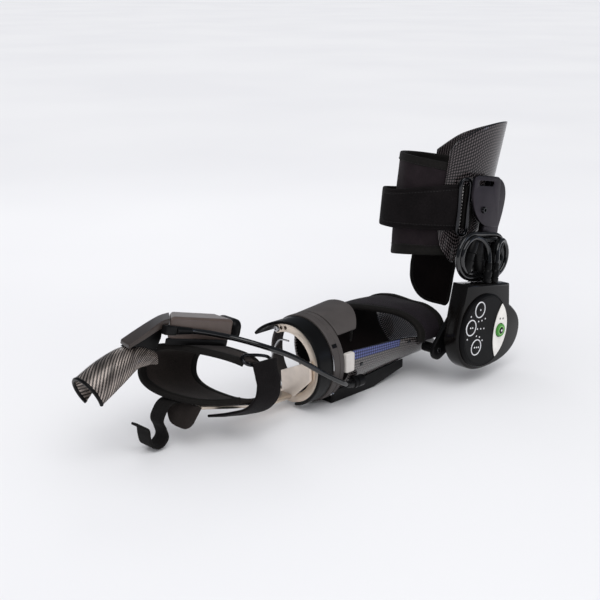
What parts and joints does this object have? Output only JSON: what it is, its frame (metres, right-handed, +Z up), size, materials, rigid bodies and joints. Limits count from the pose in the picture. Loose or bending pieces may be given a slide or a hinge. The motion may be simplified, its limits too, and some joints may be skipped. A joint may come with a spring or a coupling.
{
  "type": "powered arm orthosis",
  "caption": "Powered arm brace: carbon trough and cuff joined by a motor elbow with round keypad, turning wrist ring, padded hand loop and driven finger trough, straps fastened.",
  "frame": {"origin": "on the flat underside of the forearm rail, on the floor, under the forearm's middle", "axes": "+X runs along the forearm from hand to elbow, -Y is the motor side, +Z is up"},
  "size_m": [0.5022, 0.1425, 0.2515],
  "materials": {
    "carbon_weave": "gloss woven carbon laminate",
    "silver_twill": "satin grey twill laminate",
    "box_grey": "satin grey moulding",
    "black_plastic": "black moulding",
    "grey_plastic": "matte dark grey moulding",
    "satin_alloy": "satin, slightly blue",
    "warm_alloy": "satin, warm grey",
    "steel": "polished wire and screws",
    "neoprene": "knit-faced foam with bound edges",
    "webbing": "hook-and-loop webbing",
    "cable": "black cable jacket",
    "white_trim": "white moulding",
    "green_button": "green button cap"
  },
  "bodies": {
    "forearm": {"forearm_shell": "carbon_weave", "forearm_rail": "black_plastic", "wrist_collar": "grey_plastic", "collar_cover": "grey_plastic", "slide_block": "white_trim", "forearm_strap": "neoprene", "elbow_link": "black_plastic", "link_post": "black_plastic", "sensor_lead_a": "cable", "sensor_lead_b": "cable", "cable_socket": "black_plastic"},
    "upper_arm": {"upper_arm_shell": "carbon_weave", "motor_housing": "black_plastic", "motor_back": "black_plastic", "coil_plug_a": "black_plastic", "coil_plug_b": "black_plastic", "keypad_face": "grey_plastic", "upper_bracket": "satin_alloy", "upright_bar": "satin_alloy", "strap_ring": "steel", "bracket_screw": "steel", "upper_arm_cuff": "neoprene", "cuff_flap": "neoprene", "upper_arm_strap": "webbing", "strap_anchor": "webbing", "cable_coil": "cable", "coil_lead_a": "cable", "coil_lead_b": "cable", "keypad_label": "white_trim", "power_button": "green_button"},
    "hand": {"wrist_ring": "warm_alloy", "wrist_visor": "black_plastic", "wrist_plate": "warm_alloy", "palm_bar": "warm_alloy", "palm_pad": "neoprene", "hand_strap": "webbing", "hand_strap_ring": "steel", "pad_tongue": "neoprene", "thumb_strap": "webbing", "hand_motor_box": "box_grey", "box_end_cap": "black_plastic", "cable_plug": "black_plastic", "hand_cable": "cable"},
    "finger": {"finger_lever": "satin_alloy", "finger_shell": "silver_twill"}
  },
  "joints": [
    {"name": "elbow", "type": "hinge", "parent": "forearm", "child": "upper_arm", "pos_m": [0.102, 0, 0.054], "axis": [0, 1, 0], "range_deg": [-45, 65]},
    {"name": "wrist_turn", "type": "hinge", "parent": "forearm", "child": "hand", "pos_m": [-0.078, 0.004, 0.0432], "axis": [1, 0, 0], "range_deg": [-70, 70], "deforming": ["hand_cable"]},
    {"name": "finger_bend", "type": "hinge", "parent": "hand", "child": "finger", "pos_m": [-0.22124, 0.024, 0.11523], "axis": [0, 1, 0], "range_deg": [-20, 35]}
  ]
}
